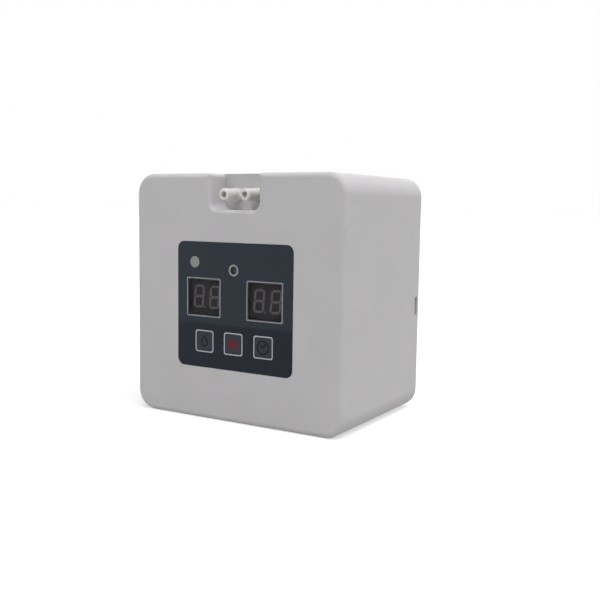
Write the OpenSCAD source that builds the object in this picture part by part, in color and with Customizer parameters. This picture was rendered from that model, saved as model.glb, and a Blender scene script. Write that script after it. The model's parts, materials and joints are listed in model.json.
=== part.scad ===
// Programmable watering timer: a square moulded case with two twin-digit
// displays, three press keys and a hose pocket, holding a battery-driven
// gear pump. Millimetres, +Z up, origin at the centre of the base.

/* [Case] */
// Width of the case
case_w = 96; // [87:1:110]
// Height of the case
case_h = 96; // [87:1:110]
// Depth of the case, front face to rear rim
case_d = 66; // [60:1:80]
// Radius of the four long corner edges
corner_r = 8; // [6:0.5:10]
// Rounding of the front face's edge
edge_r = 2; // [1:0.25:2.25]
// Thickness of the case walls
wall = 2.4; // [2:0.1:2.8]
// Thickness of the rim around the rear cover
rim_t = 1.3; // [1:0.1:1.6]
// Thickness of the rear cover
cover_t = 2.4; // [1.8:0.1:2.8]
// Gap around the rear cover
cover_gap = 0.2; // [0.1:0.05:0.4]
// Height of the pry slot in the right wall
pry_h = 7.5; // [5:0.5:12]
// Width of the pry slot, front to back
pry_w = 2.4; // [2:0.1:3]
// Rim left behind the pry slot
pry_rim = 1.2; // [1:0.1:1.4]
// Height of the pry slot's centre above the base
pry_z = 43.2; // [30:0.1:60]

/* [Hose pocket] */
// Width of the pocket
pocket_w = 22; // [20:0.5:26]
// Depth of the pocket below the top face
pocket_h = 14; // [13:0.5:16]
// Depth of the pocket behind the front face
pocket_d = 10; // [8:0.5:12]
// Radius of the pocket's lower corners
pocket_r = 3; // [2:0.5:4]
// Rounding of the pocket's edges
pocket_edge_r = 1.5; // [0.75:0.25:1.75]
// Thickness of the pocket's walls
pocket_wall = 2; // [1.6:0.1:2.4]

/* [Hose nipples] */
// Outer diameter of a nipple
nipple_d = 4.6; // [4:0.1:5]
// Bore of a nipple
nipple_bore = 2.2; // [1.6:0.1:2.6]
// Distance between the nipples
nipple_pitch = 9.6; // [8.7:0.1:11]
// Distance of the nipples below the top face
nipple_drop = 8.1; // [7:0.1:9]
// Diameter of the collar against the pocket wall
collar_d = 5.3; // [5.3:0.1:6]
// Thickness of the collar
collar_t = 3.2; // [2:0.1:4]
// Length of a nipple's tail behind its nut
tail_l = 4.5; // [3.5:0.5:5.5]
// Outer diameter of the inner hoses
hose_d = 7; // [6:0.1:8]
// Bend radius of the inner hoses
hose_bend_r = 8; // [7:0.5:9]

/* [Front panel] */
// Width of the control panel
panel_w = 53.4; // [50:0.2:58]
// Height of the control panel
panel_h = 49.2; // [48:0.2:54]
// Corner radius of the control panel
panel_r = 3; // [2:0.5:5]
// Height of the panel's centre above the base
panel_z = 45.1; // [44:0.1:47]
// Thickness of the control panel
panel_t = 0.5; // [0.4:0.05:0.6]
// Depth of the recess that holds the panel
panel_recess = 0.6; // [0.6:0.05:0.8]

/* [Displays] */
// Width of a display module
display_w = 15; // [14:0.1:16]
// Height of a display module
display_h = 14; // [13:0.1:15]
// Thickness of a display module
display_t = 7.2; // [6:0.1:8]
// Distance between the display centres
display_pitch = 28.3; // [26:0.1:30]
// Height of the display centres above the base
display_z = 48.1; // [47:0.1:50]
// Height of a digit
digit_h = 9.14; // [8:0.01:10]
// Width of a digit
digit_w = 4.9; // [4:0.1:5.4]
// Distance between the two digits of a display
digit_pitch = 7.5; // [6.5:0.1:8]
// Slant of the digits in degrees
digit_slant = 5; // [0:1:8]
// Width of a segment
segment_w = 0.9; // [0.6:0.1:1.1]

/* [Keys] */
// Width and height of a key
key_w = 7.6; // [7:0.1:8.4]
// Corner radius of a key
key_r = 0.9; // [0.5:0.1:1.5]
// Distance between the keys
key_pitch = 13.7; // [12.5:0.1:15]
// Height of the key centres above the base
key_z = 30.85; // [29.5:0.05:31.5]
// Travel of a key
key_travel = 0.4; // [0.2:0.05:0.5]
// Gap around a key
key_gap = 0.15; // [0.1:0.05:0.25]
// Height of the indicator lamp above the base
lamp_z = 59.2; // [58:0.1:62]
// Diameter of the indicator lamp
lamp_d = 3; // [2.5:0.1:3.4]

/* [Board] */
// Width of the circuit board
board_w = 68; // [64:1:72]
// Height of the circuit board
board_h = 58; // [54:1:60]
// Thickness of the circuit board
board_t = 1.6; // [1.2:0.1:2]
// Free depth behind the board for its parts
board_space = 3; // [2:0.1:4.5]

/* [Pump] */
// Diameter of the motor can
can_d = 20.4; // [19:0.1:23]
// Length of the motor can
can_l = 30.8; // [28:0.1:33]
// Height of the motor's lower end above the base
motor_z = 10; // [8.5:0.5:14]
// Diameter of the motor shaft
shaft_d = 2; // [1.8:0.1:2.3]
// Module of the pump gears
gear_m = 0.8; // [0.75:0.01:0.82]
// Teeth of each pump gear
gear_n = 10; // [10:1:10]
// Depth of the gear chamber
chamber_h = 6.1; // [5:0.1:7]
// Thickness of the pump gasket
gasket_t = 0.5; // [0.3:0.05:0.8]
// Thickness of the pump cover
pump_cover_t = 3; // [2.5:0.1:4]
// Height of the pump's hose ports
port_l = 8; // [6:0.5:9]

/* [Battery] */
// Diameter of a battery cell
cell_d = 14.2; // [13.5:0.1:14.5]
// Length of a battery cell with its button
cell_l = 50.3; // [49:0.1:51]
// Gap between neighbouring cells
cell_gap = 0.7; // [0.5:0.1:1.5]
// Length of a contact spring
spring_l = 5; // [4.6:0.1:6]
// Thickness of the tray plate
tray_t = 2; // [1.6:0.1:2.4]
// Distance between the motor can and the tray plate
cradle_t = 5.4; // [4.8:0.1:6.5]
// Height of the battery box's floor above the base
battery_z = 19.85; // [14:0.05:25]

/* [Hidden] */
$fn = 48;

// Overshoot of cutting shapes and the small clearances used throughout
cut = 1;
snug = 0.02;
running = 0.04;
loose = 0.1;

// Case interior
inner_w = case_w - 2 * wall;
inner_h = case_h - 2 * wall;
inner_r = corner_r - wall;
cover_u = case_d - cover_t;
cover_w = case_w - 2 * rim_t - 2 * cover_gap;
cover_h = case_h - 2 * rim_t - 2 * cover_gap;
rim_r = corner_r - rim_t;
cover_r = rim_r - cover_gap;

// Snap tabs of the rear cover
tab_w = 8;
tab_t = 1.4;
tab_l = 8;
tab_gap = 0.3;
tab_spread = 50;
bead_r = 0.6;
bead_rise = 0.2;
bead_inset = 0.5;
rib_t = 2;
rib_gap = 0.3;

// Corner columns that carry the battery tray
column_r = 4.6;
column_inset = 4;
boss_sink = 0.5;
column_x = inner_w / 2 - column_inset;
column_low = wall + column_inset;
column_high = case_h - wall - column_inset;
corners = [[-1, 0], [1, 0], [-1, 1], [1, 1]];

// Screws
shank_r = 1.2;
thread_fit = 0.05;
screw_play = 0.25;
pilot_r = shank_r + thread_fit;
screw_hole_r = shank_r + screw_play;
head_r = 2.5;
head_h = 1.7;
screw_bite = 6.5;
pilot_spare = 1;
pilot_l = screw_bite + pilot_spare;
slot_w = 0.6;
slot_d = 0.8;
slot_span = 1.4;

// Hose pocket
pocket_floor = case_h - pocket_h;
nipple_z = case_h - nipple_drop;
nipple_hole_r = nipple_d / 2 + loose;
nipple_tip_bevel = 0.35;
nut_af = 8;
nut_t = 2.5;
pocket_back = pocket_d + pocket_wall;
nut_back = pocket_back + nut_t;
tail_end = nut_back + tail_l;
hose_bore_r = nipple_d / 2 + snug;

// Panel cut-outs
panel_face = panel_recess - panel_t;
panel_fit = 0.1;
window_lap = 1;
window_w = display_w + window_lap;
window_h = display_h + window_lap;
window_r = 0.6;
sight_lip = 0.4;
sight_w = display_w - sight_lip;
sight_h = display_h - sight_lip;
lens_lap = 1;
lens_d = lamp_d + lens_lap;
lamp_hole_r = lamp_d / 2 + loose;

// Keys
key_flange_lap = 2.3;
key_flange_w = key_w + key_flange_lap;
key_flange_t = 0.8;
key_stem_r = 1.7;

// Board stack
board_u = wall + display_t;
board_back = board_u + board_t;
board_gap = 5.9;
board_z = pocket_floor - pocket_wall - board_gap - board_h / 2;
post_r = 3;
post_inset = 4;
post_x = board_w / 2 - post_inset;
post_z = board_h / 2 - post_inset;
switch_w = 6;
switch_t = 3.5;
plunger_r = 1.75;
plunger_rise = 0.8;
plunger_sink = 1;
switch_u = board_u - switch_t;
plunger_tip = switch_u - plunger_rise;
segment_t = 0.15;
segment_gap = 0.12;
dot_r = 0.45;
dot_gap = 0.1;
led_rim_lap = 0.3;
led_rim_r = lamp_d / 2 + led_rim_lap;
led_rim_t = 1;
led_l = 5.3;
led_gap = 0.5;
led_tip = panel_recess + led_gap;
led_base = led_tip + led_l;
chip_w = 18;
chip_h = 7.5;
chip_t = 2.4;
chip_rise = 19;
capacitor_r = 3.15;
capacitor_l = 7;
capacitor_inset = 10;
capacitor_x = post_x - capacitor_inset;
connector_w = 7.4;
connector_h = 5.8;
connector_t = 6;
connector_inset = 8;
connector_x = post_x - connector_inset;
motor_connector_drop = 20;
motor_connector_z = board_z - motor_connector_drop;
battery_connector_rise = 19;
battery_connector_z = board_z + battery_connector_rise;

// Pump
can_r = can_d / 2;
can_t = 0.8;
pump_u = board_back + board_space + can_r;
tray_u = pump_u + can_r + cradle_t;
motor_top = motor_z + can_l;
shaft_r = shaft_d / 2;
bush_r = 2.5;
bush_nose = 1.5;
end_cap_t = 2.2;
magnet_t = 2.9;
magnet_lift = 6;
magnet_low = motor_z + magnet_lift;
magnet_drop = 5;
magnet_high = motor_top - magnet_drop;
magnet_sweep = 124;
magnet_r = can_r - can_t - loose;
core_gap = 0.5;
core_r = magnet_r - magnet_t - core_gap;
core_slot = 1.4;
core_hub_t = 2;
core_inset = 1;
core_low = magnet_low + core_inset;
core_high = magnet_high - core_inset;
winding_t = 2;
winding_inset = 1;
winding_r = core_r - winding_inset;
commutator_r = 2.4;
commutator_gap = 0.6;
commutator_low = motor_z + end_cap_t + commutator_gap;
terminal_w = 2;
terminal_t = 0.5;
terminal_l = 4.5;
terminal_inset = 4.2;
terminal_x = can_r - terminal_inset;
shaft_set = 0.4;
gear_c = gear_m * gear_n;
gear_pitch_r = gear_c / 2;
gear_tip_share = 0.75;
gear_root_share = 1.1;
pressure_angle = 20;
gear_tip_r = gear_pitch_r + gear_tip_share * gear_m;
gear_root_r = gear_pitch_r - gear_root_share * gear_m;
gear_base_r = gear_pitch_r * cos(pressure_angle);
gear_backlash = 0.14;
flank_steps = 5;
chamber_r = gear_tip_r + loose;
face_gap = 0.05;
gear_t = chamber_h + gasket_t - 2 * face_gap;
pump_floor_t = 4;
pump_floor = motor_top + pump_floor_t;
pump_rim = pump_floor + chamber_h;
pump_cover_z = pump_rim + gasket_t;
pump_top = pump_cover_z + pump_cover_t;
idler_u = pump_u + gear_c;
port_u = pump_u + gear_c / 2;
port_x = nipple_pitch / 2;
port_d = nipple_d;
port_bore_r = nipple_bore / 2;
port_pit_r = 1.5;
pin_r = 1;
pin_sink = 1.5;
seal_r = 2.9;
seal_t = 1.4;
seal_gap = 0.3;
seal_low = motor_top + bush_nose + seal_gap;
block_w = 22;
block_front_l = 10;
block_front = pump_u - block_front_l;
block_gap = 0.3;
block_back = tray_u - block_gap;
block_r = 4;
pump_screw_side = 2.8;
pump_screw_x = block_w / 2 - pump_screw_side;
pump_screw_inset = 3.2;
pump_screw_r = 0.9;
pump_screw_bite = 6;
pump_screw_spare = 0.5;
pump_head_r = 1.7;
pump_head_h = 1.3;

// Inner hoses run back from the nipples, turn down and meet the ports
hose_turn_u = port_u - hose_bend_r;
hose_gap = 0.3;
hose_low = pump_top + hose_gap;

// Pump clamp
clamp_w = 8;
clamp_t = 1;
clamp_lift = 12;
clamp_z = motor_z + clamp_lift;
clamp_r = can_r + loose;
ear_reach = 7.5;
ear_x = can_r + ear_reach;
ear_l = 7;
clamp_post_l = 3;
ear_back = tray_u - clamp_post_l;
clamp_post_r = 3;
clamp_screw_spare = 0.6;
clamp_pilot_floor = 0.4;
cradle_w = 15;

// Battery tray
tray_gap = 0.4;
tray_back = tray_u + tray_t;
contact_t = 0.4;
contact_gap = 0.1;
cell_rest = 0.3;
cell_pitch = cell_d + cell_gap;
cell_u = tray_back + cell_rest + cell_d / 2;
box_h = cell_l + spring_l + 2 * contact_t + 2 * contact_gap;
box_play = 0.6;
box_w = 4 * cell_pitch + box_play;
box_t = 1.5;
box_low = battery_z;
box_high = box_low + box_h;
box_z = (box_low + box_high) / 2;
box_back = cell_u + cell_d / 2;
saddle_t = 2;
saddle_h = 4;
saddle_spread = 30;
button_r = 2.7;
button_l = 1.3;
plate_w = 11;
plate_lift = 0.6;
plate_front = tray_back + plate_lift;
plate_drop = 1;
plate_back = box_back - plate_drop;
solder_w = 4;
solder_l = 4;
solder_lap = 1;
solder_fit = 0.3;
spring_wire_r = 0.35;
spring_play = 0.1;
spring_turns = 3.5;
spring_big_r = 4.2;
spring_small_r = 2.6;
spring_rings = 8;
spring_sides = 6;
cells = [0, 1, 2, 3];

// Leads inside the case. Their ends stand square on the terminals, solder
// tabs and connectors, and the points between are chosen by hand
lead_r = 0.7;
lead_sides = 8;
lead_steps = 4;
lead_stub = 2;
lead_split = 1.2;
lead_u = board_back + connector_t / 2;
motor_tab_u = pump_u - terminal_t / 2;
motor_tab_z = motor_z - terminal_l / 2;
motor_plug = [-connector_x, lead_u, motor_connector_z - connector_h / 2];
battery_plug = [connector_x, lead_u, battery_connector_z + connector_h / 2];
solder_at = [1.5 * cell_pitch, tray_u - solder_l / 2, box_high - contact_t];
motor_lead_a = concat(
    lead_end([-terminal_x, motor_tab_u, motor_tab_z], [0, -1, 0], [2, 1, 0]),
    [[-10, motor_tab_u - 4.65, motor_tab_z + 0.45], motor_plug + [3.5, 1.8, -11.7]],
    lead_end(motor_plug - [lead_split, 0, 0], [0, 0, -1], [0, 1, 2, 3]));
motor_lead_b = concat(
    lead_end([terminal_x, motor_tab_u, motor_tab_z], [0, -1, 0], [2, 1, 0]),
    [[2, motor_tab_u - 5.15, motor_tab_z - 0.75], [-8, motor_tab_u - 8.65, motor_tab_z - 1.75],
        motor_plug + [5.5, 0, -14.2]],
    lead_end(motor_plug + [lead_split, 0, 0], [0, 0, -1], [0, 1, 2, 3]));
battery_lead_a = concat(
    lead_end([-solder_at[0], solder_at[1], solder_at[2]], [0, 0, -1], [2, 1, 0]),
    [[-17, solder_at[1] - 1.5, solder_at[2] - 7.25], [-6, solder_at[1] - 2.6, solder_at[2] - 7.75],
        [8, solder_at[1] - 3, solder_at[2] - 7.75], [17, solder_at[1] - 8, solder_at[2] - 6.75],
        battery_plug + [-1.6, 8.8, 6], battery_plug + [-1.2, 2.8, 7.5]],
    lead_end(battery_plug - [lead_split, 0, 0], [0, 0, 1], [0, 1, 2]));
battery_lead_b = concat(
    lead_end(solder_at, [0, 0, -1], [2, 1, 0]),
    [solder_at + [1.15, -3, -6.25], solder_at + [2.05, -10, -5.25],
        battery_plug + [1.8, 6.8, 6.5], battery_plug + [1.2, 2.8, 7.5]],
    lead_end(battery_plug + [lead_split, 0, 0], [0, 0, 1], [0, 1, 2]));

// Helpers

// Places shapes drawn with the front face at depth 0 in the part's frame
module in_case() translate([0, -case_d / 2, 0]) children();

// Extrudes a front-view outline between two depths
module slab(from, to)
    translate([0, to, 0]) rotate([90, 0, 0]) linear_extrude(to - from) children();

// Round bar along the depth
module bar(r, from, to, x, z)
    translate([x, to, z]) rotate([90, 0, 0]) cylinder(h = to - from, r = r);

// Rounded rectangle about the origin
module round_rect(w, h, r) {
    square([w - 2 * r, h], center = true);
    square([w, h - 2 * r], center = true);
    for (x = [-1, 1], y = [-1, 1])
        translate([x * (w / 2 - r), y * (h / 2 - r)]) circle(r);
}

// Pan-head screw, shank down, seated at the origin
module screw(r, l, hr, hh) {
    difference() {
        cylinder(h = hh, r = hr);
        for (a = [0, 90]) rotate(a)
            translate([0, 0, hh]) cube([slot_span * hr, slot_w, 2 * slot_d], center = true);
    }
    translate([0, 0, -l]) cylinder(h = l, r = r);
}

// Screw driven from behind, seated at a depth
module rear_screw(x, z, seat, l)
    translate([x, seat, z]) rotate([-90, 0, 0]) screw(shank_r, l, head_r, head_h);

// Screw driven from the front, seated at a depth
module front_screw(x, z, seat, l)
    translate([x, seat, z]) rotate([90, 0, 0]) screw(shank_r, l, head_r, head_h);

function unit(v) = v / norm(v);

// Points of a lead's straight end: steps out from where it stands, the order
// running towards the lead's middle for a far end and away from it for a near one
function lead_end(at, out, order) =
    let (n = max(order)) [for (k = order) at + lead_stub * (n - k) * out];

// Smooth curve through hand-chosen points
function curve_point(p, i, t) =
    let (a = p[max(i - 1, 0)], b = p[i], c = p[i + 1], d = p[min(i + 2, len(p) - 1)])
    0.5 * (2 * b + (c - a) * t + (2 * a - 5 * b + 4 * c - d) * t * t
        + (3 * b - a - 3 * c + d) * t * t * t);
function curve(p, n) = concat(
    [for (i = [0 : len(p) - 2], k = [0 : n - 1]) curve_point(p, i, k / n)],
    [p[len(p) - 1]]);

// Round tube along a path, closed at both ends; up is never along the path
module tube(path, r, sides, up) {
    n = len(path);
    points = [for (i = [0 : n - 1])
        let (t = unit(path[min(i + 1, n - 1)] - path[max(i - 1, 0)]),
             a = unit(cross(up, t)), b = cross(t, a))
        for (k = [0 : sides - 1])
            path[i] + r * (cos(360 * k / sides) * a + sin(360 * k / sides) * b)];
    last = (n - 1) * sides;
    polyhedron(points, concat(
        [for (k = [1 : sides - 2]) [0, k, k + 1]],
        [for (i = [0 : n - 2], k = [0 : sides - 1])
            let (a = i * sides + k, b = i * sides + (k + 1) % sides)
            each [[a, a + sides, b], [b, a + sides, b + sides]]],
        [for (k = [1 : sides - 2]) [last, last + k + 1, last + k]]));
}

// Case

// Profile of the case wall from a corner's centre outwards, front at the top
module case_profile() difference() {
    square([corner_r, case_d]);
    translate([corner_r - edge_r, case_d - edge_r]) difference() {
        square(edge_r + cut);
        circle(edge_r);
    }
}

// Straight side of the case, one corner radius thick
module case_side(l, reach)
    translate([reach - corner_r, case_d, l / 2])
        rotate([180, 0, 0]) linear_extrude(l) case_profile();

// Solid block with the case's outer shape
module case_block() {
    translate([0, 0, case_h / 2]) {
        translate([corner_r - case_w / 2, 0, corner_r - case_h / 2])
            cube([case_w - 2 * corner_r, case_d, case_h - 2 * corner_r]);
        for (a = [0, 180]) rotate([0, a, 0])
            case_side(case_h - 2 * corner_r, case_w / 2);
        for (a = [90, 270]) rotate([0, a, 0])
            case_side(case_w - 2 * corner_r, case_h / 2);
        for (c = [[1, 1, 0], [-1, 1, 90], [-1, -1, 180], [1, -1, 270]])
            translate([c[0] * (case_w / 2 - corner_r), case_d,
                c[1] * (case_h / 2 - corner_r)])
                rotate([90, 0, 0]) rotate(c[2])
                    rotate_extrude(angle = 90) case_profile();
    }
}

// Outline of the hose pocket, open at the top
module pocket_outline() {
    translate([-pocket_w / 2, pocket_floor + pocket_r])
        square([pocket_w, pocket_h - pocket_r + cut]);
    translate([pocket_r - pocket_w / 2, pocket_floor])
        square([pocket_w - 2 * pocket_r, pocket_h]);
    for (s = [-1, 1])
        translate([s * (pocket_w / 2 - pocket_r), pocket_floor + pocket_r])
            circle(pocket_r);
}

// Cross-section removed where an edge is rounded
module edge_cove() difference() {
    translate([-cut / 2, -cut / 2]) square(pocket_edge_r + cut / 2);
    translate([pocket_edge_r, pocket_edge_r]) circle(pocket_edge_r);
}

// Rounding of the pocket's front and top edges
module pocket_rounding() {
    for (s = [0, 1]) mirror([s, 0, 0]) {
        translate([pocket_w / 2, 0, pocket_floor + pocket_r])
            linear_extrude(pocket_h) edge_cove();
        translate([pocket_w / 2 - pocket_r, 0, pocket_floor + pocket_r])
            rotate([-90, 0, 0]) rotate_extrude(angle = 90)
                translate([pocket_r, 0]) edge_cove();
        translate([pocket_w / 2, -cut, case_h])
            rotate([-90, 0, 0]) linear_extrude(pocket_d + cut) edge_cove();
    }
    translate([pocket_r - pocket_w / 2, 0, pocket_floor])
        rotate([0, 90, 0]) linear_extrude(pocket_w - 2 * pocket_r) edge_cove();
}

function column_z(c) = c[1] == 0 ? column_low : column_high;

module shell_bosses() {
    for (c = corners) bar(column_r, wall - boss_sink, tray_u, c[0] * column_x, column_z(c));
    for (x = [-1, 1], z = [-1, 1])
        bar(post_r, wall - boss_sink, board_u, x * post_x, board_z + z * post_z);
}

module shell_pilots() {
    for (c = corners)
        bar(pilot_r, tray_u - pilot_l, tray_u + cut, c[0] * column_x, column_z(c));
    for (x = [-1, 1], z = [-1, 1])
        bar(pilot_r, board_u - screw_bite, board_u + cut, x * post_x,
            board_z + z * post_z);
}

module shell_panel_cuts() {
    slab(-cut, panel_recess) translate([0, panel_z])
        round_rect(panel_w + panel_fit, panel_h + panel_fit, panel_r);
    for (s = [-1, 1])
        slab(0, wall + cut) translate([s * display_pitch / 2, display_z])
            square([sight_w, sight_h], center = true);
    slab(0, wall + cut) key_openings();
    bar(lamp_hole_r, 0, wall + cut, 0, lamp_z);
}

module key_openings()
    for (k = [-1, 0, 1]) translate([k * key_pitch, key_z])
        round_rect(key_w + 2 * key_gap, key_w + 2 * key_gap, key_r + key_gap);

module front_shell() color("gainsboro") in_case() difference() {
    union() {
        difference() {
            case_block();
            slab(wall, case_d + cut) translate([0, case_h / 2])
                round_rect(inner_w, inner_h, inner_r);
        }
        translate([-pocket_w / 2 - pocket_wall, wall / 2, pocket_floor - pocket_wall])
            cube([pocket_w + 2 * pocket_wall, pocket_back - wall / 2,
                pocket_h + pocket_wall - wall / 2]);
        shell_bosses();
    }
    slab(cover_u, case_d + cut) translate([0, case_h / 2])
        round_rect(case_w - 2 * rim_t, case_h - 2 * rim_t, rim_r);
    slab(-cut, pocket_d) pocket_outline();
    pocket_rounding();
    shell_panel_cuts();
    shell_pilots();
    for (s = [-1, 1])
        bar(nipple_hole_r, pocket_d - cut, pocket_back + cut,
            s * nipple_pitch / 2, nipple_z);
    translate([case_w / 2 - wall - cut, case_d - pry_rim - pry_w, pry_z - pry_h / 2])
        cube([wall + 2 * cut, pry_w, pry_h]);
}

module rear_cover() color("whitesmoke") in_case() {
    slab(cover_u, case_d) translate([0, case_h / 2])
        round_rect(cover_w, cover_h, cover_r);
    for (s = [-1, 1], z = [-1, 1])
        translate([0, 0, case_h / 2 + z * tab_spread / 2]) cover_tab(s);
    for (z = [-1, 1])
        translate([-box_w / 2, box_back + rib_gap, box_z + z * saddle_spread / 2 - rib_t / 2])
            cube([box_w, cover_u + cover_t / 2 - box_back - rib_gap, rib_t]);
}

// Snap tab with its bead, on the left or right of the cover
module cover_tab(s) mirror([s < 0 ? 1 : 0, 0, 0]) {
    outer = inner_w / 2 - tab_gap;
    translate([outer - tab_t, cover_u - tab_l, -tab_w / 2])
        cube([tab_t, tab_l + cover_t / 2, tab_w]);
    translate([outer - bead_r + bead_rise, cover_u - tab_l + bead_r + bead_inset, -tab_w / 2])
        cylinder(h = tab_w, r = bead_r);
}

// Front panel

module window_at(s) translate([s * display_pitch / 2, display_z]) children();

module control_panel() color("midnightblue") in_case()
    slab(panel_face, panel_recess) difference() {
        translate([0, panel_z]) round_rect(panel_w, panel_h, panel_r);
        for (s = [-1, 1]) window_at(s)
            round_rect(window_w + 2 * snug, window_h + 2 * snug, window_r + snug);
        key_openings();
        translate([0, lamp_z]) circle(lens_d / 2 + snug);
    }

module display_window(s) color("dimgray") in_case()
    slab(panel_face, panel_recess) window_at(s)
        round_rect(window_w, window_h, window_r);

module indicator_lens() color("black") in_case()
    bar(lens_d / 2, panel_face, panel_recess, 0, lamp_z);

// Key cap with its retaining flange and the stem that meets the switch
module key(k) color("slategray") in_case() {
    slab(0, wall) translate([k * key_pitch, key_z]) round_rect(key_w, key_w, key_r);
    slab(wall, wall + key_flange_t) translate([k * key_pitch, key_z])
        round_rect(key_flange_w, key_flange_w, key_r);
    bar(key_stem_r, wall + key_flange_t, plunger_tip, k * key_pitch, key_z);
}

// Board and its parts

module plunger(k) color("black") in_case()
    bar(plunger_r, plunger_tip, switch_u + plunger_sink, k * key_pitch, key_z);

module switch_bodies() color("dimgray") in_case()
    for (k = [-1, 0, 1]) difference() {
        slab(switch_u, board_u) translate([k * key_pitch, key_z])
            square(switch_w, center = true);
        bar(plunger_r + running, switch_u - cut, switch_u + plunger_sink + key_travel + loose,
            k * key_pitch, key_z);
    }

module display_body(s) color("black") in_case()
    slab(wall, board_u) window_at(s) square([display_w, display_h], center = true);

// Straight segment with pointed ends, lying along X
module segment(l) polygon([[-l / 2, 0], [-l / 2 + segment_w / 2, segment_w / 2],
    [l / 2 - segment_w / 2, segment_w / 2], [l / 2, 0],
    [l / 2 - segment_w / 2, -segment_w / 2], [-l / 2 + segment_w / 2, -segment_w / 2]]);

// Seven segments and the decimal point, before the slant
module digit() {
    across = digit_w - segment_w;
    down = (digit_h - segment_w) / 2;
    for (y = [-1, 0, 1]) translate([0, y * down]) segment(across - 2 * segment_gap);
    for (x = [-1, 1], y = [-1, 1])
        translate([x * across / 2, y * down / 2]) rotate(90)
            segment(down - 2 * segment_gap);
    translate([digit_w / 2 + dot_r + dot_gap, -digit_h / 2 + dot_r]) circle(dot_r);
}

module digits(s) color("gray") in_case()
    slab(wall - segment_t, wall) window_at(s)
        for (d = [-1, 1]) translate([d * digit_pitch / 2, 0])
            multmatrix([[1, tan(digit_slant), 0, 0], [0, 1, 0, 0], [0, 0, 1, 0]]) digit();

module status_led() color("ivory") in_case() {
    bar(lamp_d / 2, led_tip + lamp_d / 2, led_base, 0, lamp_z);
    bar(led_rim_r, led_base - led_rim_t, led_base, 0, lamp_z);
    translate([0, led_tip + lamp_d / 2, lamp_z]) rotate([90, 0, 0])
        rotate_extrude() intersection() {
            circle(lamp_d / 2);
            square(lamp_d);
        }
}

module led_spacer() color("white") in_case() bar(led_rim_r, led_base, board_u, 0, lamp_z);

module circuit_board() color("darkgreen") in_case() slab(board_u, board_back)
    translate([0, board_z]) difference() {
        square([board_w, board_h], center = true);
        for (x = [-1, 1], z = [-1, 1]) translate([x * post_x, z * post_z])
            circle(screw_hole_r);
    }

module board_screws() color("silver") in_case()
    for (x = [-1, 1], z = [-1, 1])
        rear_screw(x * post_x, board_z + z * post_z, board_back, screw_bite);

// Flat box soldered to the back of the board
module on_board(w, h, t, x, z) slab(board_back, board_back + t)
    translate([x, z]) square([w, h], center = true);

module controller_chip() color("black") in_case()
    on_board(chip_w, chip_h, chip_t, 0, board_z + chip_rise);

module board_capacitor() color("navy") in_case()
    bar(capacitor_r, board_back, board_back + capacitor_l, capacitor_x, board_z);

module motor_connector() color("ivory") in_case()
    on_board(connector_w, connector_h, connector_t, -connector_x, motor_connector_z);

module battery_connector() color("ivory") in_case()
    on_board(connector_w, connector_h, connector_t, connector_x, battery_connector_z);

// Water path

module nipple(s) color("whitesmoke") in_case()
    translate([s * nipple_pitch / 2, 0, nipple_z]) rotate([-90, 0, 0])
        rotate_extrude() difference() {
            union() {
                polygon([[0, 0], [nipple_d / 2 - nipple_tip_bevel, 0],
                    [nipple_d / 2, nipple_tip_bevel], [nipple_d / 2, tail_end], [0, tail_end]]);
                translate([0, pocket_d - collar_t]) square([collar_d / 2, collar_t]);
            }
            translate([0, -cut]) square([nipple_bore / 2, tail_end + 2 * cut]);
        }

module nipple_nuts() color("whitesmoke") in_case()
    for (s = [-1, 1]) translate([s * nipple_pitch / 2, pocket_back, nipple_z])
        rotate([-90, 0, 0]) difference() {
            rotate(30) cylinder(h = nut_t, r = nut_af / 2 / cos(30), $fn = 6);
            translate([0, 0, -cut]) cylinder(h = nut_t + 2 * cut, r = hose_bore_r);
        }

// Hose run from a nipple's tail to a pump port, for one radius and end overshoot
module hose_run(r, over) {
    bar(r, nut_back - over, hose_turn_u, 0, nipple_z);
    translate([0, hose_turn_u, nipple_z - hose_bend_r])
        rotate([0, 90, 0]) rotate(90) rotate_extrude(angle = 90)
            translate([hose_bend_r, 0]) circle(r);
    translate([0, port_u, hose_low - over])
        cylinder(h = nipple_z - hose_bend_r - hose_low + over, r = r);
}

module hose(s) color("lightgray") in_case()
    translate([s * port_x, 0, 0]) difference() {
        hose_run(hose_d / 2, 0);
        hose_run(hose_bore_r, cut);
    }

// Motor

module at_motor(z) translate([0, pump_u, z]) children();

module motor_can() color("silver") in_case() difference() {
    at_motor(motor_z) cylinder(h = can_l, r = can_r);
    at_motor(motor_z - cut) cylinder(h = can_l - can_t + cut, r = can_r - can_t);
    at_motor(motor_z) cylinder(h = can_l + cut, r = bush_r + snug);
}

module motor_end_cap() color("black") in_case() difference() {
    at_motor(motor_z) cylinder(h = end_cap_t, r = can_r - can_t - snug);
    at_motor(motor_z - cut) cylinder(h = end_cap_t + 2 * cut, r = bush_r + snug);
}

module motor_terminals() color("gold") in_case()
    for (s = [-1, 1])
        translate([s * terminal_x, pump_u, motor_z - terminal_l / 2])
            cube([terminal_w, terminal_t, terminal_l], center = true);

module motor_magnets() color("dimgray") in_case()
    for (a = [0, 180]) at_motor(magnet_low) rotate(a - magnet_sweep / 2)
        rotate_extrude(angle = magnet_sweep) translate([magnet_r - magnet_t, 0])
            square([magnet_t, magnet_high - magnet_low]);

module motor_bushes() color("peru") in_case()
    for (z = [motor_z - bush_nose, motor_top - bush_nose]) at_motor(z) difference() {
        cylinder(h = 2 * bush_nose, r = bush_r);
        translate([0, 0, -cut]) cylinder(h = 2 * (bush_nose + cut), r = shaft_r + running);
    }

module motor_shaft() color("silver") in_case()
    at_motor(motor_z - bush_nose + shaft_set)
        cylinder(h = pump_floor + gear_t - motor_z + bush_nose - shaft_set, r = shaft_r);

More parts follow.
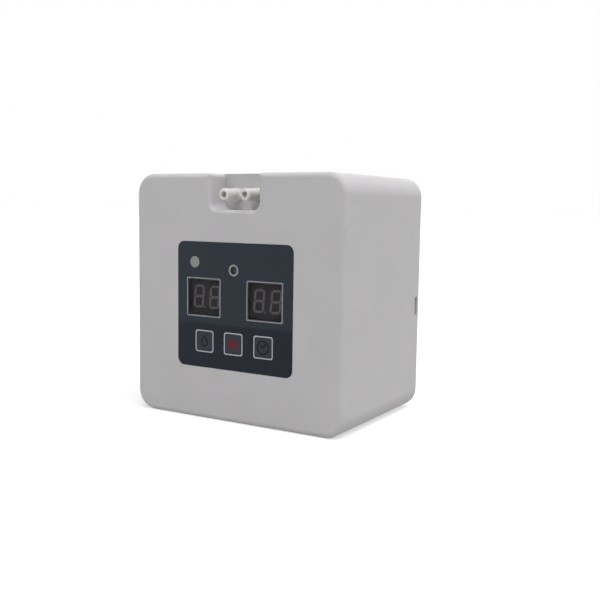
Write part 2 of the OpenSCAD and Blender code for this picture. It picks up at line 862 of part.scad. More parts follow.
module armature_core() color("gray") in_case() at_motor(core_low) difference() {
    cylinder(h = core_high - core_low, r = core_r);
    translate([0, 0, -cut]) cylinder(h = core_high - core_low + 2 * cut, r = shaft_r + snug);
    for (a = [0, 120, 240]) rotate(a)
        translate([shaft_r + core_hub_t, -core_slot / 2, -cut])
            cube([core_r, core_slot, core_high - core_low + 2 * cut]);
}

module armature_windings() color("chocolate") in_case()
    for (z = [core_low - winding_t, core_high]) at_motor(z) difference() {
        cylinder(h = winding_t, r = winding_r);
        translate([0, 0, -cut]) cylinder(h = winding_t + 2 * cut, r = commutator_r + loose);
    }

module commutator() color("peru") in_case() at_motor(commutator_low) difference() {
    cylinder(h = core_low - commutator_low, r = commutator_r);
    translate([0, 0, -cut])
        cylinder(h = core_low - commutator_low + 2 * cut, r = shaft_r + snug);
}

// Gear pump

// Half angle of a tooth at a radius on or outside the base circle
function pressure_at(r) = acos(min(1, gear_base_r / r));
function involute(a) = tan(a) * 180 / PI - a;
function tooth_half(r) =
    (PI * gear_m / 2 - gear_backlash) / (2 * gear_pitch_r) * 180 / PI
    + involute(pressure_angle) - involute(pressure_at(r));
function polar(r, a) = [r * cos(a), r * sin(a)];

// Outline of a gear with its first tooth at the given angle
module gear_outline(first) {
    radii = concat([gear_root_r], [for (i = [0 : flank_steps])
        gear_base_r + (gear_tip_r - gear_base_r) * i / flank_steps]);
    polygon([for (t = [0 : gear_n - 1])
        let (middle = first + 360 * t / gear_n)
        each concat(
            [for (r = radii) polar(r, middle - tooth_half(max(r, gear_base_r)))],
            [for (i = [len(radii) - 1 : -1 : 0])
                polar(radii[i], middle + tooth_half(max(radii[i], gear_base_r)))])]);
}

module gear(u, first, bore_r) translate([0, u, pump_floor + face_gap])
    linear_extrude(gear_t) difference() {
        gear_outline(first);
        circle(bore_r);
    }

module drive_gear() color("ivory") in_case() gear(pump_u, 90, shaft_r + snug);

module idler_gear() color("ivory") in_case()
    gear(idler_u, 180 / gear_n - 90, pin_r + running);

module idler_pin() color("silver") in_case()
    translate([0, idler_u, pump_floor - pin_sink])
        cylinder(h = chamber_h + gasket_t + 2 * pin_sink, r = pin_r);

module pump_outline() translate([0, (block_front + block_back) / 2])
    round_rect(block_w, block_back - block_front, block_r);

// Both gear bores and the pits that lead to the ports
module chamber_outline(gap) {
    for (u = [pump_u, idler_u]) translate([0, u]) circle(chamber_r + gap);
    for (s = [-1, 1]) translate([s * port_x, port_u]) circle(port_pit_r + gap);
    translate([0, port_u]) square([2 * port_x, 2 * (port_pit_r + gap)], center = true);
}

module at_pump_screws() for (s = [-1, 1],
    u = [block_front + pump_screw_inset, block_back - pump_screw_inset])
    translate([s * pump_screw_x, u, 0]) children();

module pump_body() color("whitesmoke") in_case() difference() {
    translate([0, 0, motor_top]) linear_extrude(pump_rim - motor_top) pump_outline();
    translate([0, 0, pump_floor]) linear_extrude(chamber_h + cut) chamber_outline(0);
    at_motor(motor_top - cut)
        cylinder(h = seal_low + seal_t - motor_top + cut, r = seal_r + snug);
    at_motor(motor_top) cylinder(h = pump_floor_t + cut, r = shaft_r + running);
    translate([0, idler_u, pump_floor - pin_sink]) cylinder(h = pin_sink + cut, r = pin_r + snug);
    at_pump_screws() translate([0, 0, pump_rim - pump_screw_bite])
        cylinder(h = pump_screw_bite + cut, r = pump_screw_r + running);
}

module shaft_seal() color("black") in_case() at_motor(seal_low) difference() {
    cylinder(h = seal_t, r = seal_r);
    translate([0, 0, -cut]) cylinder(h = seal_t + 2 * cut, r = shaft_r + running);
}

module pump_gasket() color("black") in_case()
    translate([0, 0, pump_rim]) linear_extrude(gasket_t) difference() {
        pump_outline();
        chamber_outline(loose);
        at_pump_screws() circle(pump_screw_r + loose);
    }

module pump_cover() color("whitesmoke") in_case() difference() {
    union() {
        translate([0, 0, pump_cover_z]) linear_extrude(pump_cover_t) pump_outline();
        for (s = [-1, 1]) translate([s * port_x, port_u, pump_top])
            cylinder(h = port_l, r = port_d / 2);
    }
    for (s = [-1, 1]) translate([s * port_x, port_u, pump_cover_z - cut])
        cylinder(h = pump_cover_t + port_l + 2 * cut, r = port_bore_r);
    translate([0, idler_u, pump_cover_z - cut]) cylinder(h = pin_sink + cut, r = pin_r + snug);
    at_pump_screws() translate([0, 0, pump_cover_z - cut])
        cylinder(h = pump_cover_t + 2 * cut, r = pump_screw_r + loose);
}

module pump_screws() color("silver") in_case()
    at_pump_screws() translate([0, 0, pump_top])
        screw(pump_screw_r, pump_cover_t + gasket_t + pump_screw_bite - pump_screw_spare,
            pump_head_r, pump_head_h);

// Strap over the front half of the motor can, with an ear on each side
module pump_clamp() color("silver") in_case()
    difference() {
        translate([0, 0, clamp_z]) linear_extrude(clamp_w) difference() {
            union() {
                translate([0, pump_u]) circle(clamp_r + clamp_t);
                translate([-clamp_r - clamp_t, pump_u])
                    square([2 * (clamp_r + clamp_t), ear_back - pump_u]);
                translate([-ear_x - ear_l / 2, ear_back - clamp_t])
                    square([2 * ear_x + ear_l, clamp_t]);
            }
            translate([0, pump_u]) circle(clamp_r);
            translate([-clamp_r, pump_u]) square([2 * clamp_r, can_r + cradle_t]);
        }
        for (s = [-1, 1])
            bar(screw_hole_r, ear_back - clamp_t - cut, ear_back + cut,
                s * ear_x, clamp_z + clamp_w / 2);
    }

module clamp_screws() color("silver") in_case()
    for (s = [-1, 1]) front_screw(s * ear_x, clamp_z + clamp_w / 2,
        ear_back - clamp_t, clamp_t + tray_back - ear_back - clamp_screw_spare);

// Battery tray and cells

function cell_x(i) = (i - 1.5) * cell_pitch;

// A cell with an even number has its button at the top
function button_up(i) = i % 2 == 0;

module battery_box() {
    difference() {
        slab(tray_back - cut / 2, box_back) translate([0, box_z])
            square([box_w + 2 * box_t, box_h + 2 * box_t], center = true);
        slab(tray_back - cut, box_back + cut) translate([0, box_z])
            square([box_w, box_h], center = true);
    }
    for (s = [-1, 1]) difference() {
        translate([-box_w / 2 - box_t / 2, tray_back - cut / 2,
            box_z + s * saddle_spread / 2 - saddle_t / 2])
            cube([box_w + box_t, saddle_h + cut / 2, saddle_t]);
        for (i = cells) translate([cell_x(i), cell_u, box_low])
            cylinder(h = box_h, r = cell_d / 2 + loose);
    }
}

module motor_cradle() difference() {
    translate([-cradle_w / 2, pump_u + can_r / 2, clamp_z])
        cube([cradle_w, can_r / 2 + cradle_t + cut / 2, clamp_w]);
    at_motor(clamp_z - cut) cylinder(h = clamp_w + 2 * cut, r = clamp_r);
}

module battery_tray() color("dimgray") in_case() difference() {
    union() {
        slab(tray_u, tray_back) translate([0, case_h / 2])
            round_rect(inner_w - 2 * tray_gap, inner_h - 2 * tray_gap, inner_r - tray_gap);
        battery_box();
        motor_cradle();
        for (s = [-1, 1])
            bar(clamp_post_r, ear_back, tray_u + cut / 2, s * ear_x, clamp_z + clamp_w / 2);
    }
    for (c = corners)
        bar(screw_hole_r, tray_u - cut, tray_back + cut, c[0] * column_x, column_z(c));
    for (s = [-1, 1])
        bar(pilot_r, ear_back - cut, tray_back - clamp_pilot_floor, s * ear_x,
            clamp_z + clamp_w / 2);
    for (i = [0, 3])
        translate([cell_x(i) - solder_w / 2 - solder_fit, tray_u - cut,
            box_high - contact_t - solder_fit])
            cube([solder_w + 2 * solder_fit, tray_t + 2 * cut, contact_t + 2 * solder_fit]);
}

module tray_screws() color("silver") in_case()
    for (c = corners) rear_screw(c[0] * column_x, column_z(c), tray_back, screw_bite + tray_t);

module battery_cell(i) color("goldenrod") in_case()
    translate([cell_x(i), cell_u, 0]) {
        flat = cell_l - button_l;
        low = button_up(i) ? box_low + contact_t + contact_gap + spring_l
            : box_low + contact_t + contact_gap + button_l;
        translate([0, 0, low]) cylinder(h = flat, r = cell_d / 2);
        translate([0, 0, button_up(i) ? low + flat : low - button_l])
            cylinder(h = button_l, r = button_r);
    }

// Contact plate across a run of cells, at the top or bottom of the box
module contact_plate(first, last, top)
    translate([cell_x(first) - plate_w / 2, plate_front, top ? box_high - contact_t : box_low])
        cube([cell_x(last) - cell_x(first) + plate_w, plate_back - plate_front, contact_t]);

module contact_plates() color("silver") in_case() {
    for (i = [0, 3]) {
        contact_plate(i, i, true);
        translate([cell_x(i) - solder_w / 2, tray_u - solder_l, box_high - contact_t])
            cube([solder_w, plate_front + solder_lap - tray_u + solder_l, contact_t]);
    }
    contact_plate(1, 2, true);
    contact_plate(0, 1, false);
    contact_plate(2, 3, false);
}

// Centre line of a tapering contact spring, standing on the origin
function spring_path() =
    let (n = spring_turns * spring_rings, rise = spring_l - 2 * (spring_wire_r + spring_play))
    [for (k = [0 : n]) let (r = spring_big_r + (spring_small_r - spring_big_r) * k / n)
        [r * cos(360 * k / spring_rings), r * sin(360 * k / spring_rings),
         spring_wire_r + spring_play + rise * k / n]];

// Least gap between neighbouring turns of a spring
spring_points = spring_path();
spring_gap = min([for (i = [0 : len(spring_points) - 1], j = [0 : len(spring_points) - 1])
    if (j - i > spring_rings / 2) norm(spring_points[i] - spring_points[j])]) - 2 * spring_wire_r;
echo("least gap between spring turns", spring_gap);

module contact_springs() color("silver") in_case()
    for (i = cells) translate([cell_x(i), cell_u, button_up(i) ? box_low + contact_t
        : box_high - contact_t]) mirror([0, 0, button_up(i) ? 0 : 1])
        tube(spring_path(), spring_wire_r, spring_sides, [0, 0, 1]);

// Leads

module motor_leads() color("firebrick") in_case()
    for (p = [motor_lead_a, motor_lead_b])
        tube(curve(p, lead_steps), lead_r, lead_sides, [1, -1, 1]);

module battery_leads() color("firebrick") in_case()
    for (p = [battery_lead_a, battery_lead_b])
        tube(curve(p, lead_steps), lead_r, lead_sides, [1, 1, 1]);

front_shell();
rear_cover();
control_panel();
display_window(-1);  // display_window_left
display_window(1);  // display_window_right
indicator_lens();
key(-1);  // key_water
key(0);  // key_mode
key(1);  // key_clock
plunger(-1);  // plunger_water
plunger(0);  // plunger_mode
plunger(1);  // plunger_clock
switch_bodies();
display_body(-1);  // display_left
display_body(1);  // display_right
digits(-1);  // digits_left
digits(1);  // digits_right
status_led();
led_spacer();
circuit_board();
board_screws();
controller_chip();
board_capacitor();
motor_connector();
battery_connector();
nipple(-1);  // inlet_nipple
nipple(1);  // outlet_nipple
nipple_nuts();
hose(-1);  // inlet_hose
hose(1);  // outlet_hose
motor_can();
motor_end_cap();
motor_terminals();
motor_magnets();
motor_bushes();
motor_shaft();
armature_core();
armature_windings();
commutator();
drive_gear();
idler_gear();
idler_pin();
pump_body();
shaft_seal();
pump_gasket();
pump_cover();
pump_screws();
pump_clamp();
clamp_screws();
battery_tray();
tray_screws();
battery_cell(0);  // battery_cell_1
battery_cell(1);  // battery_cell_2
battery_cell(2);  // battery_cell_3
battery_cell(3);  // battery_cell_4
contact_plates();
contact_springs();
motor_leads();
battery_leads();
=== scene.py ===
import json
import math

import bmesh
import bpy
from mathutils import Matrix, Vector

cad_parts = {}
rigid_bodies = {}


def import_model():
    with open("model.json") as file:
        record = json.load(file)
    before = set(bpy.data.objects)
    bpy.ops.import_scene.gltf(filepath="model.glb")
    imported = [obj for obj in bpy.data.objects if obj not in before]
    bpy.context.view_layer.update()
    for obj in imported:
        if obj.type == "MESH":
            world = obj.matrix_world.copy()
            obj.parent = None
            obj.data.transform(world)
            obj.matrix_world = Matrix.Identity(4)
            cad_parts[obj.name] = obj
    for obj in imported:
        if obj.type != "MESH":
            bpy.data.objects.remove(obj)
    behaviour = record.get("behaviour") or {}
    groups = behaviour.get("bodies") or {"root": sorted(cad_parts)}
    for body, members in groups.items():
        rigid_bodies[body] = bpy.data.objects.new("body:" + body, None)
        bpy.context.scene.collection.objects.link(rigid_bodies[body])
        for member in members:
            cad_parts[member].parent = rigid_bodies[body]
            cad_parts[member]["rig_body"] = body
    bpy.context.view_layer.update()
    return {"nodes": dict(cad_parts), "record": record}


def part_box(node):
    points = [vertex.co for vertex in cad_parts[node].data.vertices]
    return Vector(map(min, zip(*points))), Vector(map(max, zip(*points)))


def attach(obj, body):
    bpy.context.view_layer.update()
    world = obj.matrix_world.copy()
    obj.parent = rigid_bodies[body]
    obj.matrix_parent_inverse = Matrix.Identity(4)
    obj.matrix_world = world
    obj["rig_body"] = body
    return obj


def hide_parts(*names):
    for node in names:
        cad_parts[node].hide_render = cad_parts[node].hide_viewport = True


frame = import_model()
scene = bpy.context.scene
MM = 0.001

# Camera at the photograph's viewpoint: metres, degrees, and millimetres for the lens
CAMERA_AT = (0.18415, -0.29254, 0.08293)
CAMERA_YAW = 30.773
CAMERA_TILT = 83.7768
CAMERA_ROLL = 0.8301
CAMERA_NEAR = 0.01
LENS = 50.276
SENSOR = 36.0

# Studio light, as shares of full white, and the floor's width in metres
AMBIENT = 0.03
FLOOR_ALBEDO = 0.6
FLOOR_LIFT = 0.55
FLOOR_SIZE = 30.0
# Soft lamps: where each shines from, its strength and its width in degrees
LAMPS = {
    "overhead": ((0.28, -0.12, 1.0), 2.82, 48.0),
    "front_low": ((-0.2, -0.93, 0.18), 1.0, 60.0),
    "right_rear": ((0.85, 0.5, 0.7), 0.63, 45.0),
    "rear_fill": ((-0.6, 0.75, 0.3), 0.75, 60.0),
}
# White card that shows only in reflections: centre, heading, width and height, tint and radiance
CARD_AT = (-0.1541, -0.2515, 0.035)
CARD_TURN = 1.6
CARD_SIZE = (0.114, 0.07)
CARD_COLOR = (0.75, 1.0, 1.15)
CARD_RADIANCE = 0.68

# How far print stands proud of its face and reaches into it, in millimetres
INK = 0.025
INK_SINK = 0.005

# Printed frames, ring and disc on the panel, in millimetres
WINDOW_FRAME = (16.16, 15.2)
WINDOW_FRAME_LINE = 0.42
WINDOW_FRAME_R = 0.5
LAMP_RING_R = 2.22
LAMP_RING_LINE = 0.64
DISC_AT = (-18.46, 61.72)
DISC_R = 2.2
KEY_FRAME = 8.65
KEY_FRAME_LINE = 0.42
KEY_FRAME_R = 1.0

# Signs on the keys, in millimetres
ICON_LINE = 0.6
DROP_R = 1.8
DROP_TIP = 2.9
DROP_SHIFT = -0.5
BAR_W = 4.4
BAR_H = 0.75
BAR_R = 0.365
BAR_STEP = 1.15
CLOCK_R = 2.75
CLOCK_HOUR = (-1.15, 0.85)
CLOCK_MINUTE = (1.35, 1.25)

# Openings before the displays, in millimetres: how much smaller than a display they are, their corner
# radius, the thickness of the dark lining on their walls that paints in the shade there, and its distance
# from window and display
SIGHT_LIP = 0.4
SIGHT_R = 0.05
LINING = 0.04
LINING_GAP = 0.02

# Rounding of edges that the solids leave sharp, in millimetres
KEY_EDGE = 0.22
NIPPLE_EDGE = 0.15
COVER_EDGE = 0.3
EDGE_SEGMENTS = 3
# Faces that meet at less than the first angle are one face, and past the second their edge is rounded
FLAT_ANGLE = math.radians(0.5)
SHARP_ANGLE = math.radians(40)
# Points closer than this, in metres, are one point
SAME_POINT = 1e-6

# Battery cell's profile from the base up, as radius and height in millimetres
CELL_BASE = [(0, 0), (4.7, 0), (5.0, 0.2), (5.5, 0.45)]
CELL_LOW_ROLL = [(6.4, 0.45), (6.85, 0.2), (7.08, 0.6)]
CELL_BAND = [(7.08, 34.0)]
CELL_HIGH_ROLL = [(7.08, 48.4), (6.85, 48.9), (6.4, 48.98), (5.7, 48.7)]
CELL_BUTTON = [(5.2, 48.5), (2.75, 48.5), (2.68, 49.9), (2.4, 50.25), (0, 50.3)]
LATHE_STEPS = 64

# Material slot of each CAD node
SLOTS = {part["node"]: part["material_slot"] for part in frame["record"]["subparts"]}
KEYS = ("water", "mode", "clock")
SIDES = ("left", "right")


# Node-tree helpers: sockets are named with _ for a space, noise scales are per metre, depths in metres

# Colour sockets of the Mix node
MIX_BELOW = 6
MIX_ABOVE = 7
MIX_RESULT = 2
# Where most values of a noise texture lie
NOISE_SPREAD = (0.3, 0.7)


def shader(mat):
    return mat.node_tree.nodes["Principled BSDF"]


def link(mat, source, target):
    mat.node_tree.links.new(source, target)


def set_sockets(node, values):
    for socket, value in values.items():
        node.inputs[socket.replace("_", " ")].default_value = value


def add(mat, kind, **values):
    node = mat.node_tree.nodes.new("ShaderNode" + kind)
    set_sockets(node, values)
    return node


def material(name, color, roughness, **values):
    mat = bpy.data.materials.new(name)
    mat.use_nodes = True
    set_sockets(shader(mat), {"Base_Color": (*color, 1), "Roughness": roughness, **values})
    return mat


def noise(mat, scale, detail, stretch=(1, 1, 1), shift=(0, 0, 0)):
    """Cloudy pattern in the part's own frame."""
    coords = add(mat, "TexCoord")
    mapping = add(mat, "Mapping", Scale=stretch, Location=shift)
    texture = add(mat, "TexNoise", Scale=scale, Detail=detail)
    link(mat, coords.outputs["Object"], mapping.inputs["Vector"])
    link(mat, mapping.outputs["Vector"], texture.inputs["Vector"])
    return texture.outputs["Fac"]


def regular(mat, kind, **values):
    """Wave or brick pattern in the part's own frame."""
    coords = add(mat, "TexCoord")
    texture = add(mat, kind, **values)
    link(mat, coords.outputs["Object"], texture.inputs["Vector"])
    return texture.outputs["Fac"]


def span(mat, value, low, high, start, end):
    """Value from low to high, mapped to run from start to end."""
    node = add(mat, "MapRange", From_Min=low, From_Max=high, To_Min=start, To_Max=end)
    link(mat, value, node.inputs["Value"])
    return node.outputs["Result"]


def tint(mat, share, color):
    """Covers the colour so far by a share of another one."""
    base = shader(mat).inputs["Base Color"]
    node = add(mat, "Mix")
    node.data_type = "RGBA"
    link(mat, share, node.inputs["Factor"])
    if base.is_linked:
        link(mat, base.links[0].from_socket, node.inputs[MIX_BELOW])
    else:
        node.inputs[MIX_BELOW].default_value = base.default_value
    node.inputs[MIX_ABOVE].default_value = (*color, 1)
    link(mat, node.outputs[MIX_RESULT], base)


def stain(mat, pattern, low, high, color, most=1):
    """Tints the spots where a pattern lies above low, the most from high on."""
    tint(mat, span(mat, pattern, low, high, 0, most), color)


def gloss(mat, pattern, smooth, rough):
    link(mat, span(mat, pattern, *NOISE_SPREAD, smooth, rough), shader(mat).inputs["Roughness"])


def bump(mat, pattern, strength, depth):
    node = add(mat, "Bump", Strength=strength, Distance=depth)
    link(mat, pattern, node.inputs["Height"])
    normal = shader(mat).inputs["Normal"]
    if normal.is_linked:
        link(mat, normal.links[0].from_socket, node.inputs["Normal"])
    link(mat, node.outputs["Normal"], normal)


# Finishes


def darker(color, share):
    return tuple(c * share for c in color)


def moulded(name, color, roughness, grain=2400.0, **values):
    """Injection-moulded plastic with a fine grain, cloudy colour and uneven sheen."""
    mat = material(name, color, roughness, **values)
    stain(mat, noise(mat, 45, 4), 0.4, 0.75, darker(color, 0.97))
    stain(mat, noise(mat, 1400, 2, shift=(3, 1, 2)), 0.66, 0.84, darker(color, 0.85), most=0.35)
    gloss(mat, noise(mat, 70, 3, shift=(5, 2, 1)), roughness - 0.045, roughness + 0.045)
    bump(mat, noise(mat, grain, 1), 0.12, 0.00006)
    return mat


def handled(name, color, roughness, **values):
    """Moulded plastic of the case, with faint yellowed spots and upright streaks."""
    mat = moulded(name, color, roughness, **values)
    spots = noise(mat, 75, 1, shift=(0.7, 0.2, 0.4))
    streaks = noise(mat, 90, 2, stretch=(1, 1, 0.12), shift=(0.1, 0, 0))
    stain(mat, spots, 0.69, 0.84, (0.51, 0.48, 0.43), most=0.38)
    stain(mat, streaks, 0.66, 0.9, (0.545, 0.52, 0.48), most=0.2)
    return mat


def glossy(name, color, roughness, **values):
    """Glossy sheet with slight waves and fine dust."""
    mat = material(name, color, roughness, **values)
    gloss(mat, noise(mat, 55, 4), roughness - 0.015, roughness + 0.015)
    stain(mat, noise(mat, 1700, 2), 0.76, 0.84, (0.06, 0.06, 0.065), most=0.35)
    bump(mat, noise(mat, 160, 2), 0.04, 0.0001)
    return mat


def smoked(name, color, roughness):
    """Thin clear plastic with a dark tint."""
    mat = material(name, color, roughness, Transmission_Weight=1.0, IOR=1.15)
    gloss(mat, noise(mat, 120, 3), 0.0, 2 * roughness)
    return mat


def ink(name, color):
    """Screen print that covers unevenly."""
    mat = material(name, color, 0.45, Specular_IOR_Level=0.12)
    stain(mat, noise(mat, 1200, 3), 0.4, 0.75, darker(color, 0.82))
    gloss(mat, noise(mat, 500, 2), 0.38, 0.55)
    bump(mat, noise(mat, 4000, 1), 0.1, 0.00002)
    return mat


def metal(name, color, roughness):
    """Drawn or brushed metal with fine lines across its height."""
    mat = material(name, color, roughness, Metallic=1.0)
    lines = noise(mat, 900, 2, stretch=(1, 1, 14))
    gloss(mat, lines, roughness - 0.08, roughness + 0.1)
    stain(mat, noise(mat, 150, 4), 0.45, 0.8, darker(color, 0.78))
    bump(mat, lines, 0.06, 0.00002)
    return mat


def soft(name, color, roughness, **values):
    """Rubber or silicone with a dusty, uneven sheen."""
    mat = material(name, color, roughness, **values)
    stain(mat, noise(mat, 300, 4), 0.45, 0.8, darker(color, 0.8))
    gloss(mat, noise(mat, 200, 3), roughness - 0.1, roughness + 0.1)
    bump(mat, noise(mat, 1500, 2), 0.1, 0.00003)
    return mat


def wound(name, color, roughness):
    """Enamelled wire laid in turns."""
    mat = metal(name, color, roughness)
    turns = regular(mat, "TexWave", Scale=500.0, Distortion=0.6)
    stain(mat, turns, 0.2, 0.8, darker(color, 0.5))
    bump(mat, turns, 0.5, 0.0002)
    return mat


def masked(name, color, roughness):
    """Solder mask with lighter tracks under it."""
    mat = material(name, color, roughness)
    tracks = regular(mat, "TexBrick", Scale=160.0)
    tint(mat, tracks, (0.03, 0.19, 0.07))
    stain(mat, noise(mat, 400, 3), 0.45, 0.8, darker(color, 0.7))
    gloss(mat, noise(mat, 250, 2), roughness - 0.07, roughness + 0.07)
    bump(mat, tracks, 0.3, 0.00005)
    return mat


def shine(level, **values):
    return {"Specular_IOR_Level": level, **values}


def milky(weight, scale):
    return {"Subsurface_Weight": weight, "Subsurface_Scale": scale, "Subsurface_Radius": (1.0, 0.95, 0.9)}


# Finish of each material slot, and of the cells' band: its kind, colour, roughness and other values
FINISHES = {
    "case_plastic": (handled, (0.6, 0.588, 0.6), 0.55, shine(0.05)),
    "panel_gloss": (glossy, (0.0015, 0.006, 0.017), 0.035, shine(0.2)),
    "window_smoke": (smoked, (0.5, 0.48, 0.49), 0.01, {}),
    "lens_smoke": (smoked, (0.25, 0.25, 0.27), 0.01, {}),
    "key_plastic": (moulded, (0.0125, 0.0155, 0.0245), 0.5, shine(0.28, grain=3200.0)),
    "black_plastic": (moulded, (0.02, 0.02, 0.021), 0.5, {}),
    "display_black": (moulded, (0.048, 0.043, 0.046), 0.6, shine(0.2)),
    "segment_grey": (moulded, (0.265, 0.255, 0.265), 0.45, shine(0.3)),
    "lamp_clear": (moulded, (0.7, 0.7, 0.66), 0.2, {}),
    "board_green": (masked, (0.012, 0.10, 0.035), 0.35, {}),
    "white_plastic": (moulded, (0.72, 0.71, 0.67), 0.42, {}),
    "nipple_plastic": (moulded, (0.65, 0.63, 0.615), 0.4, milky(0.85, 0.003)),
    "hose_silicone": (soft, (0.68, 0.68, 0.66), 0.35, milky(0.3, 0.001)),
    "steel": (metal, (0.62, 0.62, 0.63), 0.28, {}),
    "motor_steel": (metal, (0.52, 0.52, 0.54), 0.35, {}),
    "magnet_grey": (moulded, (0.06, 0.06, 0.065), 0.6, {"grain": 900.0}),
    "copper": (wound, (0.58, 0.24, 0.11), 0.3, {}),
    "bronze": (metal, (0.52, 0.34, 0.15), 0.38, {}),
    "gear_nylon": (moulded, (0.70, 0.68, 0.60), 0.45, {}),
    "black_rubber": (soft, (0.02, 0.02, 0.02), 0.6, {}),
    "capacitor_sleeve": (moulded, (0.02, 0.03, 0.10), 0.3, {}),
    "tray_plastic": (moulded, (0.09, 0.09, 0.095), 0.46, {"grain": 1600.0}),
    "cell_sleeve": (moulded, (0.03, 0.13, 0.085), 0.26, {}),
    "cell_band": (moulded, (0.55, 0.53, 0.46), 0.28, {}),
    "lead_sleeve": (soft, (0.42, 0.025, 0.02), 0.4, {}),
}
finishes = {name: kind(name, color, roughness, **values)
            for name, (kind, color, roughness, values) in FINISHES.items()}
ink_grey = ink("ink_grey", (0.36, 0.365, 0.4))
ink_light = ink("ink_light", (0.31, 0.315, 0.315))
ink_white = ink("ink_white", (0.56, 0.57, 0.63))
ink_dark = ink("ink_dark", (0.003, 0.004, 0.006))
ink_red = ink("ink_red", (0.17, 0.012, 0.024))
# Near-black colour for the walls of the display openings: painted shade in the openings.
painted_sight_shade = ink("painted_sight_shade", (0.06, 0.061, 0.066))


def dress_nodes():
    for name, slot in SLOTS.items():
        materials = frame["nodes"][name].data.materials
        materials.clear()
        materials.append(finishes[slot])


# Outlines in the front view, as lists of x and z in millimetres


def on_circle(r, degrees):
    a = math.radians(degrees)
    return r * math.cos(a), r * math.sin(a)


def moved(loop, x, z):
    return [(px + x, pz + z) for px, pz in loop]


def rect_loop(w, h, r, steps=6):
    """Rectangle with round corners."""
    loop = []
    for k, (sx, sz) in enumerate([(1, 1), (-1, 1), (-1, -1), (1, -1)]):
        arc = [on_circle(r, 90 * (k + i / steps)) for i in range(steps + 1)]
        loop += moved(arc, sx * (w / 2 - r), sz * (h / 2 - r))
    return loop


def circle_loop(r, steps=64):
    return [on_circle(r, 360 * k / steps) for k in range(steps)]


def drop_loop(r, tip, steps=40):
    """Circle with two tangents that meet in a tip above it."""
    half = math.degrees(math.acos(r / tip))
    arc = [on_circle(r, 90 + half + (360 - 2 * half) * i / steps) for i in range(steps + 1)]
    return [(0, tip), *arc]


def bar_loop(start, end, line, steps=8):
    """Straight bar with round ends between two points."""
    heading = math.degrees(math.atan2(end[1] - start[1], end[0] - start[0]))
    loop = []
    for centre, turn in ((end, -90), (start, 90)):
        arc = [on_circle(line / 2, heading + turn + 180 * i / steps) for i in range(steps + 1)]
        loop += moved(arc, *centre)
    return loop


def rect_ring(w, h, r, line):
    return rect_loop(w, h, r), rect_loop(w - 2 * line, h - 2 * line, r - line / 2)


def circle_ring(r, line):
    return circle_loop(r), circle_loop(r - line)


def centre_of(node):
    """Centre of a CAD node in the front view, in millimetres."""
    low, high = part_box(node)
    return (low.x + high.x) / 2 / MM, (low.z + high.z) / 2 / MM


def face_of(node):
    """Depth of a CAD node's front face, in millimetres."""
    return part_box(node)[0].y / MM


# Meshes


def new_piece(name, bm, materials, body):
    mesh = bpy.data.meshes.new(name)
    bm.to_mesh(mesh)
    bm.free()
    for mat in materials:
        mesh.materials.append(mat)
    piece = bpy.data.objects.new(name, mesh)
    scene.collection.objects.link(piece)
    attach(piece, body)
    return piece


def loop_points(bm, loop, depth):
    return [bm.verts.new((x * MM, depth * MM, z * MM)) for x, z in loop]


def band(bm, a, b):
    """Strip of faces between two closed rows of as many points."""
    for k in range(len(a)):
        j = (k + 1) % len(a)
        bm.faces.new((a[k], a[j], b[j], b[k]))


def raised_ring(bm, outer, inner, near, far):
    """Closed ring between two outlines with as many points, from one depth to another."""
    front_out = loop_points(bm, outer, near)
    front_in = loop_points(bm, inner, near)
    back_out = loop_points(bm, outer, far)
    back_in = loop_points(bm, inner, far)
    band(bm, front_out, front_in)
    band(bm, back_in, back_out)
    band(bm, back_out, front_out)
    band(bm, front_in, back_in)


def raised_fill(bm, outline, near, far):
    """Closed plate with an outline, from one depth to another."""
    front = loop_points(bm, outline, near)
    back = loop_points(bm, outline, far)
    bm.faces.new(front)
    bm.faces.new(back[::-1])
    band(bm, back, front)


def printed(name, carrier, at, rings, fills, mat, body):
    """Print on a node's front face, with its outlines about a point there."""
    near = face_of(carrier) - INK
    far = face_of(carrier) + INK_SINK
    bm = bmesh.new()
    for outer, inner in rings:
        raised_ring(bm, moved(outer, *at), moved(inner, *at), near, far)
    for outline in fills:
        raised_fill(bm, moved(outline, *at), near, far)
    bmesh.ops.recalc_face_normals(bm, faces=bm.faces)
    new_piece(name, bm, [mat], body)


def print_on_panel(name, at, rings, fills, mat):
    printed(name, "control_panel", at, rings, fills, mat, "case")


def print_panel():
    window = rect_ring(*WINDOW_FRAME, WINDOW_FRAME_R, WINDOW_FRAME_LINE)
    for side in SIDES:
        print_on_panel("display_frame_" + side, centre_of("display_window_" + side), [window], [], ink_grey)
    lamp_at = (centre_of("control_panel")[0], centre_of("indicator_lens")[1])
    print_on_panel("lamp_ring", lamp_at, [circle_ring(LAMP_RING_R, LAMP_RING_LINE)], [], ink_grey)
    print_on_panel("panel_disc", DISC_AT, [], [circle_loop(DISC_R)], ink_light)
    key_frame = rect_ring(KEY_FRAME, KEY_FRAME, KEY_FRAME_R, KEY_FRAME_LINE)
    for key in KEYS:
        print_on_panel("key_frame_" + key, centre_of("key_" + key), [key_frame], [], ink_white)


def paint_shade_in_sights():
    """Dark lining on the walls of the two openings before the displays: painted shade where the openings
    fall dark.
    """
    for side in SIDES:
        low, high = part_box("display_" + side)
        at = centre_of("display_" + side)
        w = (high.x - low.x) / MM - SIGHT_LIP
        h = (high.z - low.z) / MM - SIGHT_LIP
        outer = moved(rect_loop(w, h, SIGHT_R, 1), *at)
        inner = moved(rect_loop(w - 2 * LINING, h - 2 * LINING, SIGHT_R, 1), *at)
        window_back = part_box("display_window_" + side)[1].y / MM
        bm = bmesh.new()
        raised_ring(bm, outer, inner, window_back + LINING_GAP, low.y / MM - LINING_GAP)
        bmesh.ops.recalc_face_normals(bm, faces=bm.faces)
        # The lining is painted shade: a dark sheet on the opening walls.
        new_piece("sight_shade_lining_" + side, bm, [painted_sight_shade], "case")


def print_on_key(key, rings, fills, mat, shift=0):
    x, z = centre_of("key_" + key)
    printed("sign_" + key, "key_" + key, (x, z + shift), rings, fills, mat, key + "_key")


